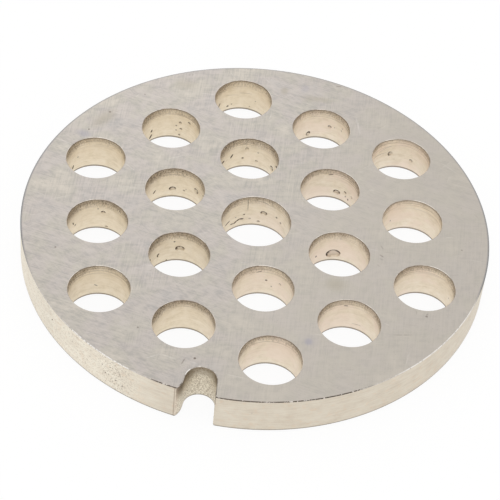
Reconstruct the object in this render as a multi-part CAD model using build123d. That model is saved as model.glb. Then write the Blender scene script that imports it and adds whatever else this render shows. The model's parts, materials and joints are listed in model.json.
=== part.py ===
from build123d import *

import math
import os

# Meat grinder plate, size 8, for a coarse mince: one disc of steel with a centre bore, a hexagonal
# field of round holes and one key notch in its rim.
#
# Frame: millimetres, +Z up. The origin is on the axis of the centre bore, at the plate's lower face.
# The key notch points to -Y. The knife sweeps the upper face, whose hole edges are left sharp.

# The disc.
PLATE_DIAMETER = 62.0
PLATE_THICKNESS = 5.5

# The holes: rings of meat holes about the centre bore, in a hexagonal field. The rim land is the
# metal left between the corner holes of the field and the rim.
CENTRE_BORE_DIAMETER = 9.2
MEAT_HOLE_DIAMETER = 8.0
RINGS_OF_HOLES = 2
RIM_LAND = 2.8
HOLE_PITCH = (PLATE_DIAMETER / 2 - RIM_LAND - MEAT_HOLE_DIAMETER / 2) / RINGS_OF_HOLES

# The key notch: a slot with a round end, open at the rim, that a pin in the grinder's barrel enters
# to stop the plate from turning. Seen from outside the rim with the ground face up, its right side
# leans away from the pin, and its left side runs straight and then flares out to the rim.
KEY_NOTCH_WIDTH = 4.0
KEY_NOTCH_DEPTH = 4.4
KEY_NOTCH_RIGHT_LEAN = 9.0
KEY_NOTCH_LEFT_FLARE_RADIUS = 2.5
KEY_NOTCH_LEFT_FLARE_LENGTH = 1.6
KEY_NOTCH_CORNER_RADIUS = 0.3
KEY_DIRECTION = -90.0
KEY_TO_CORNER_HOLE = 17.9

# The edges: the cast side is rounded over, and the ground side is only broken.
CAST_EDGE_RADIUS = 0.25
GROUND_EDGE_BREAK = 0.1


def hexagonal_field(pitch, rings):
    """Every hole centre of the field but the middle one, with one corner of the field on +X."""
    centres = []
    for row in range(-rings, rings + 1):
        for step in range(-rings, rings + 1):
            if abs(row + step) > rings or row == step == 0:
                continue
            centres.append((pitch * (step + row / 2), pitch * row * math.sqrt(3) / 2))
    return centres


def key_notch_outline():
    """The notch along +X: its round end inside the disc, its lean on +Y and its flare on -Y."""
    end_radius = KEY_NOTCH_WIDTH / 2
    end_x = PLATE_DIAMETER / 2 - KEY_NOTCH_DEPTH + end_radius
    outside_x = PLATE_DIAMETER / 2 + end_radius / 4

    lean = math.radians(KEY_NOTCH_RIGHT_LEAN)
    right_start = (end_x - end_radius * math.sin(lean), end_radius * math.cos(lean))
    right_end = (outside_x, right_start[1] + (outside_x - right_start[0]) * math.tan(lean))

    flare_x = PLATE_DIAMETER / 2 - KEY_NOTCH_LEFT_FLARE_LENGTH
    flare_turn = math.asin((outside_x - flare_x) / KEY_NOTCH_LEFT_FLARE_RADIUS)
    flare = [(flare_x + KEY_NOTCH_LEFT_FLARE_RADIUS * math.sin(turn),
              -end_radius - KEY_NOTCH_LEFT_FLARE_RADIUS * (1 - math.cos(turn)))
             for turn in (0, flare_turn / 2, flare_turn)]

    with BuildSketch() as notch:
        with BuildLine():
            ThreePointArc((end_x, -end_radius), (end_x - end_radius, 0), right_start)
            Line(right_start, right_end)
            Line(right_end, flare[2])
            ThreePointArc(flare[2], flare[1], flare[0])
            Line(flare[0], (end_x, -end_radius))
        make_face()
    return notch.sketch


def rim_outline():
    """The disc's outline with the key notch cut in and the two corners of its mouth eased."""
    outline = Circle(PLATE_DIAMETER / 2) - key_notch_outline()
    mouth_corners = outline.vertices().sort_by(Axis.X)[-2:]
    return fillet(mouth_corners, KEY_NOTCH_CORNER_RADIUS)


def blank():
    """The cast disc: its lower outline rounded over, its upper outline broken by the grinding."""
    disc = extrude(Rot(0, 0, KEY_DIRECTION) * rim_outline(), PLATE_THICKNESS)
    disc = fillet(disc.faces().sort_by(Axis.Z)[0].edges(), CAST_EDGE_RADIUS)
    return chamfer(disc.faces().sort_by(Axis.Z)[-1].edges(), GROUND_EDGE_BREAK)


def hole_cutter(diameter):
    """A through hole: sharp at the upper face and flared by the cast radius at the lower face."""
    flare_radius = CAST_EDGE_RADIUS
    bore_radius = diameter / 2
    with BuildPart() as cutter:
        with BuildSketch(Plane.XZ):
            with BuildLine():
                Line((0, 0), (bore_radius + flare_radius, 0))
                RadiusArc((bore_radius + flare_radius, 0), (bore_radius, flare_radius), -flare_radius)
                Line((bore_radius, flare_radius), (bore_radius, PLATE_THICKNESS))
                Line((bore_radius, PLATE_THICKNESS), (0, PLATE_THICKNESS))
                Line((0, PLATE_THICKNESS), (0, 0))
            make_face()
        revolve(axis=Axis.Z)
    return cutter.part


def grinder_plate():
    """The whole plate: the blank with its centre bore and its field of meat holes."""
    corner_hole_direction = KEY_DIRECTION + KEY_TO_CORNER_HOLE
    field = Rot(0, 0, corner_hole_direction)
    meat_hole = hole_cutter(MEAT_HOLE_DIAMETER)
    plate = blank() - hole_cutter(CENTRE_BORE_DIAMETER)
    for x, y in hexagonal_field(HOLE_PITCH, RINGS_OF_HOLES):
        plate -= field * Pos(x, y) * meat_hole
    plate.label = "grinder_plate"
    return plate


os.makedirs("parts", exist_ok=True)
plate = grinder_plate()
export_step(plate, "parts/grinder_plate.step")
size = plate.bounding_box().size
print(f"grinder_plate: {plate.volume:.1f} mm3, {size.X:.3f} x {size.Y:.3f} x {size.Z:.3f} mm")
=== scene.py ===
# %% [markdown]
# # Dressing a meat grinder plate
#
# The part is one steel disc: a casting whose upper face has been ground flat, with a centre bore,
# a field of round meat holes and one key notch in its rim. The solid that comes with it has every
# size right, but its walls are perfectly smooth. This lesson builds the same disc again as a
# finer surface, with the blowholes, grain and worn edges of the real casting, and gives each kind
# of surface its own finish.
#
# The frame is loaded first. Everything after it takes its sizes from that frame.

# %% Load the frame
import json
import math
import random

import bmesh
import bpy
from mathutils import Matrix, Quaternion, Vector
from mathutils.geometry import delaunay_2d_cdt


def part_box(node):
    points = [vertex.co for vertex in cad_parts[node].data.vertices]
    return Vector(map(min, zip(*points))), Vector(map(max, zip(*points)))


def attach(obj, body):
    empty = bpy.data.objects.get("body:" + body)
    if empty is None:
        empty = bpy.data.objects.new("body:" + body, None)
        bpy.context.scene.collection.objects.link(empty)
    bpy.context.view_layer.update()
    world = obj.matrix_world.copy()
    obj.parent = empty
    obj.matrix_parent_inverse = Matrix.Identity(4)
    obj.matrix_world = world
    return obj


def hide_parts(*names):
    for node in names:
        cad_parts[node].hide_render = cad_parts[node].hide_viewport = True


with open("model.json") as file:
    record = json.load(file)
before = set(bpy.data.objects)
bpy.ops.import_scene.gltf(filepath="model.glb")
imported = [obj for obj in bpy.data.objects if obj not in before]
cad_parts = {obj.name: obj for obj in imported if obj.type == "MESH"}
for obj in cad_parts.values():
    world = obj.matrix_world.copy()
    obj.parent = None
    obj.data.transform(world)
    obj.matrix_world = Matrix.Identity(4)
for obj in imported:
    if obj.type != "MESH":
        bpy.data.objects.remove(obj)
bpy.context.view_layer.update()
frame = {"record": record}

# %% [markdown]
# ## The plate's sizes
#
# A maker reads a drawing before cutting. Here the drawing is the part's record: it names the rim
# and the centre bore with their radii, and has one box for each meat hole, whose middle is the
# hole's axis. The few sizes that the record doesn't state are written down here by name, in
# millimetres, because plates are drawn in millimetres. The mesh is turned into metres at the end.

# %% Read the drawing
MM = 0.001
mounts = {mount["name"]: mount for mount in frame["record"]["mounts"]}
openings = frame["record"]["physics"]["openings"]

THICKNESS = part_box("grinder_plate")[1].z / MM
RIM_RADIUS = mounts["rim"]["dims"]["r_mm"]
CENTRE_BORE_RADIUS = mounts["centre_bore"]["dims"]["r_mm"]
MEAT_HOLE_RADIUS = 4.0
NOTCH_HALF_WIDTH = 2.0
NOTCH_DEPTH = 4.4
NOTCH_RIGHT_LEAN = 9.0
NOTCH_FLARE_RADIUS = 2.5
NOTCH_FLARE_LENGTH = 1.6
NOTCH_CORNER = 0.3
CAST_EDGE = 0.25
GROUND_EDGE = 0.1
HOLE_EDGE = 0.05


def middle_of(opening):
    """The axis of a meat hole in millimetres, from the box that its opening is stated with."""
    low, high = opening["box_m"]
    return ((low[0] + high[0]) / 2 / MM, (low[1] + high[1]) / 2 / MM)


bores = {"centre_bore": ((0.0, 0.0), CENTRE_BORE_RADIUS)}
for opening in openings:
    bores[opening["name"]] = (middle_of(opening), MEAT_HOLE_RADIUS)
print(f"{len(bores)} bores through a plate of {2 * RIM_RADIUS} x {THICKNESS:.2f} mm")

# %% [markdown]
# ## The camera
#
# A long lens keeps a small flat object from looking stretched. The camera looks down at about 45
# degrees, so the upper face and the far walls of the bores both show. It is placed by an aim
# point, a distance and three angles, which are easier to adjust than a position and a rotation.

# %% Place the camera
LENS = 139.1
AIM = Vector((-0.40, -0.16, 0.0))
DISTANCE = 259.4
AZIMUTH = 9.45
ELEVATION = 45.72
ROLL = 6.05


def place_camera():
    """A camera that looks at the plate from the side of the key notch."""
    azimuth, elevation = math.radians(AZIMUTH), math.radians(ELEVATION)
    back = Vector((
        math.sin(azimuth) * math.cos(elevation),
        -math.cos(azimuth) * math.cos(elevation),
        math.sin(elevation),
    ))
    camera = bpy.data.objects.new("camera", bpy.data.cameras.new("camera"))
    camera.data.lens = LENS
    camera.data.clip_start = 0.01
    camera.location = (AIM + back * DISTANCE) * MM
    camera.rotation_mode = "QUATERNION"
    roll = Quaternion((0, 0, 1), math.radians(ROLL))
    camera.rotation_quaternion = back.to_track_quat("Z", "Y") @ roll
    bpy.context.scene.collection.objects.link(camera)
    bpy.context.scene.camera = camera
    return camera


camera = place_camera()
print("camera at", [round(value / MM, 1) for value in camera.location], "mm")

# %% [markdown]
# ## Node helper
#
# Every finish below is a small network of shader nodes. Adding a node by hand takes one line for
# the node and one more for each of its sockets, so one helper does it: it makes the node, sets its
# options, and either links a socket or writes a plain value into it.

# %% A helper for shader nodes
def add(tree, kind, inputs=None, **options):
    """A new node of a kind, with its options set and its inputs linked or filled in."""
    node = tree.nodes.new("ShaderNode" + kind)
    for name, value in options.items():
        setattr(node, name, value)
    for name, value in (inputs or {}).items():
        if isinstance(value, bpy.types.NodeSocket):
            tree.links.new(value, node.inputs[name])
        else:
            node.inputs[name].default_value = value
    return node


def new_material(name):
    """An empty material and its node tree."""
    material = bpy.data.materials.new(name)
    material.use_nodes = True
    material.node_tree.nodes.clear()
    return material, material.node_tree


print("helpers for materials ready")

# %% [markdown]
# ## The studio
#
# Steel shows what stands around it, so the surroundings are part of the finish. A picture of a
# real studio could light the plate, but a small part like this is usually lit in a white tent, and
# a tent needs no picture: its light comes evenly from all round, with two soft lamps to lift it.
#
# The world is that tent, in a slightly warm white. The floor is white card. To the camera and to
# reflections the card is pure white, and a small share of real card is mixed in, so that the plate
# still casts a soft shadow.

# %% The tent
WHITE = (1, 1, 1, 1)
TENT_WHITE = (1.0, 0.985, 0.965, 1)


def rays_seen(tree, *kinds):
    """1 for the named kinds of ray, such as camera rays, and 0 for all others."""
    path = add(tree, "LightPath")
    seen = path.outputs[f"Is {kinds[0]} Ray"]
    for kind in kinds[1:]:
        other = path.outputs[f"Is {kind} Ray"]
        seen = add(tree, "Math", {0: seen, 1: other}, operation="MAXIMUM").outputs[0]
    return seen


def light_tent():
    """The world: an even, slightly warm light, which the camera sees as pure white."""
    world = bpy.data.worlds.new("light_tent")
    world.use_nodes = True
    tree = world.node_tree
    tree.nodes.clear()
    seen = rays_seen(tree, "Camera", "Transmission")
    tent = add(tree, "Background", {"Color": TENT_WHITE, "Strength": 1.0})
    white = add(tree, "Background", {"Color": WHITE, "Strength": 1.0})
    both = add(tree, "MixShader", {0: seen, 1: tent.outputs[0], 2: white.outputs[0]})
    add(tree, "OutputWorld", {"Surface": both.outputs[0]})
    bpy.context.scene.world = world


bpy.context.scene.view_settings.view_transform = "Standard"
light_tent()
print("tent lit")

# %% The card and the lamps
CARD_WHITE = (0.97, 0.98, 0.99, 1)
CARD_SHARE = 0.08
FLOOR_HALF_WIDTH = 1.5
FLOOR_GAP = 0.02 * MM


def white_card():
    """The floor's material."""
    material, tree = new_material("white_card")
    seen = rays_seen(tree, "Camera", "Glossy", "Transmission")
    share = add(tree, "Math", {0: seen, 1: 1 - CARD_SHARE}, operation="MULTIPLY")
    card = add(tree, "BsdfDiffuse", {"Color": CARD_WHITE})
    white = add(tree, "Emission", {"Color": WHITE, "Strength": 1.0})
    both = add(tree, "MixShader", {0: share.outputs[0], 1: card.outputs[0], 2: white.outputs[0]})
    add(tree, "OutputMaterial", {"Surface": both.outputs[0]})
    return material


def lay_floor():
    """A plane just under the plate."""
    mesh = bpy.data.meshes.new("floor")
    corners = [(x * FLOOR_HALF_WIDTH, y * FLOOR_HALF_WIDTH, -FLOOR_GAP)
               for x, y in ((-1, -1), (1, -1), (1, 1), (-1, 1))]
    mesh.from_pydata(corners, [], [(0, 1, 2, 3)])
    mesh.materials.append(white_card())
    floor = bpy.data.objects.new("floor", mesh)
    bpy.context.scene.collection.objects.link(floor)


def hang_softbox(name, place, size, power):
    """A square soft light that points at the plate: its place and size in metres, power in watts."""
    lamp = bpy.data.lights.new(name, "AREA")
    lamp.size = size
    lamp.energy = power
    box = bpy.data.objects.new(name, lamp)
    box.location = Vector(place)
    box.rotation_mode = "QUATERNION"
    box.rotation_quaternion = Vector(place).to_track_quat("Z", "Y")
    bpy.context.scene.collection.objects.link(box)


lay_floor()
hang_softbox("back_softbox", (-0.085, 0.245, 0.2), size=0.12, power=0.03)
hang_softbox("front_softbox", (0.05, -0.35, 0.35), size=0.3, power=0.15)
print("card laid and lamps hung")

# %% [markdown]
# ## Walking round a wall
#
# Every wall of this plate is a flat strip bent into a closed loop: the bores are circles, and the
# rim is a circle with the notch let into it. A cylinder from the menu would do for a bore, but not
# for the notched rim, and marks are easier to place on a flat strip. So a wall is made flat first,
# with the distance along the loop across and the height up, and is then bent. A path object does
# the bending: asked for a distance along the loop, it answers with the point there and the
# direction that faces out of the metal.

# %% A path
COLUMN_STEP = 0.28
COLUMN_TURN = 9.0


class Path:
    """A closed outline made of arcs and straight lines, walked by its length."""

    def __init__(self):
        self.pieces = []
        self.length = 0.0

    def arc(self, centre, radius, start, sweep, faces_out=1):
        """An arc in degrees. faces_out is 1 where the metal lies inside the arc, and -1 outside."""
        size = abs(math.radians(sweep)) * radius
        self.pieces.append((self.length, size, "arc", (centre, radius, start, sweep, faces_out)))
        self.length += size

    def line(self, start, end, facing):
        """A straight stretch with one facing direction."""
        size = math.dist(start, end)
        self.pieces.append((self.length, size, "line", (start, end, facing)))
        self.length += size

    def stops(self):
        """Distances along the path for the columns of a wall: closer together where it bends."""
        distances = []
        for begin, size, form, facts in self.pieces:
            count = math.ceil(size / COLUMN_STEP)
            if form == "arc":
                count = max(count, math.ceil(abs(facts[3]) / COLUMN_TURN))
            distances += [begin + size * i / count for i in range(count)]
        return distances

    def at(self, distance):
        """The point at a distance along the path, and the direction out of the metal there."""
        distance %= self.length
        begin, size, form, facts = next(p for p in reversed(self.pieces) if p[0] <= distance)
        share = (distance - begin) / size
        if form == "line":
            start, end, facing = facts
            point = (start[0] + (end[0] - start[0]) * share, start[1] + (end[1] - start[1]) * share)
            return point, facing
        centre, radius, start, sweep, faces_out = facts
        angle = math.radians(start + sweep * share)
        out = (math.cos(angle), math.sin(angle))
        point = (centre[0] + radius * out[0], centre[1] + radius * out[1])
        return point, (out[0] * faces_out, out[1] * faces_out)


print("a path can be walked, with a column every", COLUMN_STEP, "mm")

# %% The outline of a bore
SEAM = -90.0


def bore_path(centre, radius):
    """A bore's wall, starting on the side of the key notch."""
    path = Path()
    path.arc(centre, radius, SEAM, 360.0, faces_out=-1)
    return path


test_path = bore_path((0.0, 0.0), CENTRE_BORE_RADIUS)
print(f"the centre bore's path is {test_path.length:.1f} mm long, with {len(test_path.stops())} columns")

# %% The outline of the rim
def turn_of(centre, point):
    """The direction from a centre to a point, in degrees."""
    return math.degrees(math.atan2(point[1] - centre[1], point[0] - centre[0]))


def rim_path():
    """The rim and the key notch, from the back of the plate and round anticlockwise."""
    end_y = -(RIM_RADIUS - NOTCH_DEPTH + NOTCH_HALF_WIDTH)
    inner = RIM_RADIUS - NOTCH_CORNER
    path = Path()

    # The left side: its rounded corner and its flare, which touch each other and the rim.
    flare_start = (-NOTCH_HALF_WIDTH, -(RIM_RADIUS - NOTCH_FLARE_LENGTH))
    flare_middle = (-NOTCH_HALF_WIDTH - NOTCH_FLARE_RADIUS, flare_start[1])
    reach, small = math.hypot(*flare_middle), NOTCH_FLARE_RADIUS - NOTCH_CORNER
    past_middle = math.acos((inner ** 2 + reach ** 2 - small ** 2) / (2 * inner * reach))
    corner_turn = math.atan2(flare_middle[1], flare_middle[0]) + past_middle
    left_corner = (inner * math.cos(corner_turn), inner * math.sin(corner_turn))
    rim_end = turn_of((0, 0), left_corner) % 360
    flare_end = turn_of(flare_middle, left_corner)
    path.arc((0, 0), RIM_RADIUS, 90, rim_end - 90)
    path.arc(left_corner, NOTCH_CORNER, rim_end, flare_end % 360 - rim_end)
    path.arc(flare_middle, NOTCH_FLARE_RADIUS, flare_end, -flare_end)
    path.line(flare_start, (-NOTCH_HALF_WIDTH, end_y), (1, 0))

    # The round end, and then the right side, which leans out to its own rounded corner.
    lean = math.radians(NOTCH_RIGHT_LEAN)
    facing = (-math.cos(lean), -math.sin(lean))
    path.arc((0, end_y), NOTCH_HALF_WIDTH, 180, NOTCH_RIGHT_LEAN - 180, faces_out=-1)
    right_start = (-facing[0] * NOTCH_HALF_WIDTH, end_y - facing[1] * NOTCH_HALF_WIDTH)
    offset = NOTCH_HALF_WIDTH + NOTCH_CORNER
    side = (-facing[0] * offset, end_y - facing[1] * offset)
    along = (math.sin(lean), -math.cos(lean))
    run = side[0] * along[0] + side[1] * along[1]
    walk = -run + math.sqrt(run ** 2 - side[0] ** 2 - side[1] ** 2 + inner ** 2)
    right_corner = (side[0] + along[0] * walk, side[1] + along[1] * walk)
    right_end = (right_corner[0] + facing[0] * NOTCH_CORNER,
                 right_corner[1] + facing[1] * NOTCH_CORNER)
    path.line(right_start, right_end, facing)
    rim_start = turn_of((0, 0), right_corner) % 360
    path.arc(right_corner, NOTCH_CORNER, 180 + NOTCH_RIGHT_LEAN, rim_start - 180 - NOTCH_RIGHT_LEAN)
    path.arc((0, 0), RIM_RADIUS, rim_start, 450 - rim_start)
    return path


rim = rim_path()
print(f"rim path {rim.length:.1f} mm long in {len(rim.pieces)} pieces")

# %% [markdown]
# ## Blowholes
#
# Gas in the molten steel leaves round hollows, and the drill that opens each bore cuts through
# some of them. They show on the bore walls as small bowls with a sharp edge. They could be painted
# on, but a real hollow stays true from every side. So each one is an ellipse on the unbent wall,
# with a depth that falls away like a bowl.
#
# The larger ones are listed: the angle round the bore, the height, the width, the height
# of the bowl and its lean, all in degrees and millimetres. A sixth number, where there is one, says
# how dark it is. Very narrow ones make the cuts and drill scores. The rest are scattered by a
# seeded random draw, on the sides with none listed.

# %% Where the blowholes are
BLOWHOLES = {
    "centre_bore": [
        (116, 4.05, 0.09, 2.0, 2, 0.55), (137, 1.2, 0.18, 0.55, -52), (132, 1.45, 0.18, 0.55, -65),
        (126, 1.5, 0.18, 0.6, 77), (144, 1.16, 0.16, 0.6, 76, 0.8), (156, 1.9, 0.16, 1, -74),
        (122, 2.2, 0.22, 0.38, -55), (88, 2.6, 0.9, 0.7, 0), (64, 2.8, 0.28, 0.25, 0),
        (54, 2.35, 0.3, 0.3, 0, 0.7), (96, 0.9, 0.36, 0.28, 0), (137, 2.1, 0.2, 0.2, 0, 0.6),
        (111, 1.35, 0.3, 0.22, 0, 0.5), (103, 4.7, 0.11, 1.1, -90, 0.5), (89, 4.6, 0.11, 1.15, 80, 0.5),
    ],
    "meat_hole_12": [
        (65, 3.65, 0.45, 0.42, 0), (85, 3.05, 0.36, 0.45, 0, 0.8), (83, 1.92, 0.38, 0.34, 0),
        (93, 2.4, 0.24, 0.22, 0, 0.7), (93, 1.55, 0.22, 0.22, 0, 0.7), (86, 0.8, 0.3, 0.24, 0),
        (146, 1.95, 0.22, 0.4, -26), (148, 0.97, 0.24, 0.66, -35),
    ],
    "meat_hole_05": [
        (158, 1.96, 0.2, 0.66, -25), (134, 0.95, 0.33, 0.28, 0), (125, 1.15, 0.18, 0.2, 0, 0.7),
        (75, 2.1, 0.2, 0.2, 0, 0.5), (87, 0.8, 0.2, 0.2, 0, 0.5), (126, 2.9, 0.08, 1.9, 80, 0.2),
        (97, 3.15, 0.08, 1.8, -88, 0.2),
    ],
    "meat_hole_17": [
        (107, 3.5, 0.5, 0.55, 0, 0.45), (139, 2.6, 0.22, 0.6, -35), (115, 1.75, 0.27, 0.4, -68),
        (86, 1.43, 0.4, 0.34, 0, 0.6), (164, 2.6, 0.28, 0.55, 85), (48, 1.7, 0.7, 0.75, 0),
        (29, 3.1, 0.3, 0.6, -60), (84, 3.05, 0.2, 0.22, 0, 0.5), (91, 4.55, 0.12, 2, 87, 0.3),
        (113, 4.5, 0.12, 1.1, -80, 0.3), (62, 4.7, 0.12, 2, -79, 0.3),
    ],
    "meat_hole_18": [
        (108, 1.65, 0.95, 0.75, 0), (85, 1.6, 0.3, 0.24, 0, 0.7), (81, 1.9, 0.18, 0.2, 0, 0.4),
        (57, 2.6, 0.8, 0.85, 0), (30, 3.4, 0.25, 0.42, -63), (147, 1.83, 0.19, 0.52, -49),
        (81, 4.65, 0.18, 0.2, 0),
    ],
    "meat_hole_11": [
        (81, 2.6, 0.55, 0.5, 0, 0.7), (124, 1.0, 0.6, 0.9, -15, 0.9), (52, 3.0, 0.2, 0.25, 0, 0.5),
        (50, 3.5, 0.16, 0.2, 0, 0.6), (70, 2.8, 0.16, 0.2, 0, 0.5),
    ],
    "meat_hole_04": [
        (118, 2.75, 0.7, 0.85, 25, 0.7), (74, 2.0, 0.5, 0.5, 0, 0.6), (145, 3.2, 0.09, 2.5, 84, 0.25),
        (131, 3.95, 0.09, 2.1, -76, 0.25),
    ],
    "meat_hole_10": [
        (16, 3.5, 0.22, 0.3, 0), (141, 2.2, 0.2, 0.25, 0, 0.6), (156, 1.4, 0.3, 0.3, 0, 0.8),
    ],
    "meat_hole_16": [
        (83, 1.45, 0.95, 0.75, 0), (65, 2.0, 0.42, 0.4, 0), (63, 1.35, 0.22, 0.25, 0, 0.7),
        (56, 1.1, 0.22, 0.3, 0), (47, 2.0, 0.4, 0.4, 0, 0.5), (99, 4.46, 0.14, 0.62, -76, 0.7),
    ],
    "meat_hole_15": [(108, 1.4, 1.9, 1.45, 0), (145, 1.66, 0.28, 0.28, 0)],
    "meat_hole_06": [
        (157, 1.15, 0.2, 0.55, -23), (144, 2.5, 0.2, 0.22, 0, 0.7), (45, 4.7, 0.25, 0.4, 0, 0.7),
    ],
    "meat_hole_07": [
        (95, 3.2, 0.58, 0.45, 0), (105, 3.75, 0.22, 0.2, 0, 0.6), (153, 1.83, 0.19, 0.3, -42),
        (159, 2.4, 0.16, 0.43, 21), (88, 0.62, 0.36, 0.24, 0), (59, 4.5, 0.25, 0.34, 0),
    ],
    "meat_hole_13": [
        (102, 2.4, 1.2, 0.9, 0), (146, 1.95, 0.45, 0.6, 0), (171, 2.45, 0.3, 0.45, 0),
        (113, 3.7, 0.22, 0.24, 0), (127, 0.42, 0.2, 0.2, 0),
    ],
    "meat_hole_01": [(112, 1.84, 0.14, 0.48, 54, 0.5)],
    "meat_hole_14": [
        (95, 2.8, 0.3, 0.24, 0), (84, 1.87, 0.2, 0.2, 0, 0.6), (67, 2.93, 0.36, 0.3, 0, 0.5),
        (110, 4.3, 0.12, 0.66, -76, 0.6),
    ],
    "meat_hole_09": [(81, 1.2, 0.09, 1.2, -86, 0.3), (106, 4.34, 0.14, 0.5, 85, 0.7)],
    "meat_hole_03": [(36, 2.1, 0.16, 0.2, 0, 0.6)],
}
RIM_BLOWHOLES = [
    (-132, 3.3, 0.4, 0.4, 0), (-113, 2.4, 0.22, 0.22, 0), (-110.1, 2.05, 0.24, 0.22, 0),
    (-108.1, 1.7, 0.24, 0.3, 0, 0.7), (-109, 3.6, 0.14, 1.0, -20, 0.35), (-114, 3.6, 0.2, 0.2, 0, 0.6),
    (-123.8, 3.4, 0.22, 0.2, 0, 0.4), (-75.7, 4.5, 0.3, 0.14, 0, 0.4), (-66, 3.3, 0.2, 0.16, 0, 0.3),
]
print(sum(len(holes) for holes in BLOWHOLES.values()), "blowholes placed in the bores by hand")
print(len(RIM_BLOWHOLES), "placed on the rim")

# %% [markdown]
# ## One blowhole
#
# A bowl is painted dark in a line under its lip, as painted shade, and its sill gets a painted
# highlight. The line is wider in a deeper bowl, and in one on the side of a bore. A very small bowl
# is painted dark all over, and so is a cut. An even net of points would need millions of them to
# show a bowl's edge, so each bowl brings its own points: rings inside it, one on its edge and one
# just outside.

# %% What a blowhole is like
# Its depth, and which bowls count as small or as a cut.
DEPTH_SHARE = 0.25
DEEPEST = 0.4
SMALL_BOWL = 0.34
TALL_BOWL = 1.8
NARROWEST = 0.09
NARROW = 0.32

# Its marks are painted shade and a painted highlight. The line of painted shade starts a little
# below the middle, the rest of the bowl is a little darker, and the sill, its lowest part, gets the
# painted highlight.
SMALL_BOWL_MARK = 0.7
FLOOR_MARK = 0.15
SILL_MARK = -0.25
SILL_START = -0.8
LIP_SHADE_START = -0.3
LIP_SHADE_LINE = 0.16
LIP_SHADE_REACH = 1.3
LIP_SHADE_SIDE_REACH = 0.6

# Its rings of points: how far out each one is, as a share of the bowl, and how many points it has.
BOWL_RINGS = ((0.0, 1), (0.4, 8), (0.72, 14), (0.9, 20), (0.999, 24), (1.1, 24))
SMALL_RINGS = ((0.0, 1), (0.6, 6), (0.999, 10), (1.3, 10))
CUT_RINGS = ((0.0, 1), (0.5, 24), (0.999, 64), (1.4, 64))
print("a bowl has", sum(count for reach, count in BOWL_RINGS), "points, and a small one",
      sum(count for reach, count in SMALL_RINGS))

# %% A bowl
class Blowhole:
    """One bowl on an unbent wall. along and up are its middle; the sizes are full widths.

    lip is the direction of its line of painted shade, in degrees from straight up towards more along.
    """

    def __init__(self, along, up, width, height, lean, darkness=1.0, lip=0.0):
        self.along, self.up = along, up
        self.half_width, self.half_height = max(width, NARROWEST) / 2, height / 2
        self.cos, self.sin = math.cos(math.radians(lean)), math.sin(math.radians(lean))
        deep = min(DEPTH_SHARE * min(width, height), DEEPEST)
        self.darkness, self.lip = darkness, math.radians(lip)
        self.depth = deep * math.cos(self.lip) ** 2
        self.lip_shade_reach = deep * (LIP_SHADE_REACH + LIP_SHADE_SIDE_REACH * abs(math.sin(self.lip)))
        self.small = max(width, height) < SMALL_BOWL
        self.cut = height > TALL_BOWL * width and width < NARROW

    def inside(self, along, up):
        """A point in the bowl's own measure, in which its edge is a circle of radius 1."""
        across, rise = along - self.along, up - self.up
        return (
            (across * self.cos - rise * self.sin) / self.half_width,
            (across * self.sin + rise * self.cos) / self.half_height,
        )

    def reach(self, along, up):
        """0 in the middle, 1 on the edge and more outside."""
        return math.hypot(*self.inside(along, up))

    def hollow(self, along, up):
        """How far the wall goes back into the metal at a point."""
        reach = self.reach(along, up)
        return self.depth * math.sqrt(1 - reach ** 2) if reach < 1 else 0.0

    def mark(self, along, up):
        """How dark the bowl is painted at a point: painted shade lines its lip, and its sill has a
        painted highlight.
        """
        across, rise = self.inside(along, up)
        reach = math.hypot(across, rise)
        if reach >= 1:
            return 0.0
        # A small bowl and a cut are painted dark all over, as painted shade.
        if self.small:
            return SMALL_BOWL_MARK * self.darkness
        if self.cut:
            return self.darkness
        lipward = across * math.sin(self.lip) + rise * math.cos(self.lip)
        if lipward < SILL_START:
            return SILL_MARK
        from_edge = (1 - reach) * min(self.half_width, self.half_height)
        in_lip_shade = lipward > LIP_SHADE_START and from_edge < LIP_SHADE_LINE + self.lip_shade_reach * max(0.0, lipward)
        return (1.0 if in_lip_shade else FLOOR_MARK) * self.darkness

    def points(self):
        """Points on the unbent wall: rings in the bowl, on its edge and just outside it."""
        rings = CUT_RINGS if self.cut else SMALL_RINGS if self.small else BOWL_RINGS
        placed = []
        for reach, count in rings:
            for step in range(count):
                turn = 2 * math.pi * (step + 0.5 * (count % 4 == 0)) / count
                wide = reach * self.half_width * math.cos(turn)
                high = reach * self.half_height * math.sin(turn)
                placed.append((
                    self.along + wide * self.cos + high * self.sin,
                    self.up - wide * self.sin + high * self.cos,
                ))
        return placed


print(f"a bowl 1 mm wide is {Blowhole(0, 0, 1, 1, 0).depth:.2f} mm deep")

# %% [markdown]
# ## Scattered blowholes
#
# Real blowholes are mostly small, with a few large ones among them. An exponential draw gives
# widths like that. The draw has a seed, so every run gives the same plate.

# %% Scatter the small ones
SCATTERED = 8
SMALLEST_SCATTERED = 0.16
LARGEST_SCATTERED = 0.9
SCATTER_RATE = 5.0
SCATTER_HEIGHTS = (0.7, THICKNESS - 1.2)


def scatter_blowholes(draw, begin, end, length):
    """Small random blowholes between two distances along a wall."""
    made = []
    while len(made) < SCATTERED:
        width = min(SMALLEST_SCATTERED + draw.expovariate(SCATTER_RATE), LARGEST_SCATTERED)
        height = width * draw.uniform(0.8, 1.3)
        along = draw.uniform(begin, end) % length
        margin = max(width, height)
        if margin < along < length - margin:
            up = draw.uniform(*SCATTER_HEIGHTS)
            made.append(Blowhole(along, up, width, height, draw.uniform(-30, 30)))
    return made


print(SCATTERED, "more on each wall")

# %% [markdown]
# ## Putting a wall together
#
# The flat strip is filled with triangles by a Delaunay triangulation: give it points, and it joins
# them with triangles as even as it can. Most of the wall needs few points, and a blowhole needs
# many, so this keeps the mesh small. The strip's two ends are then sewn together by using the same
# points for both, and its lower and upper rows are kept as loops for the faces to join.

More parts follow.
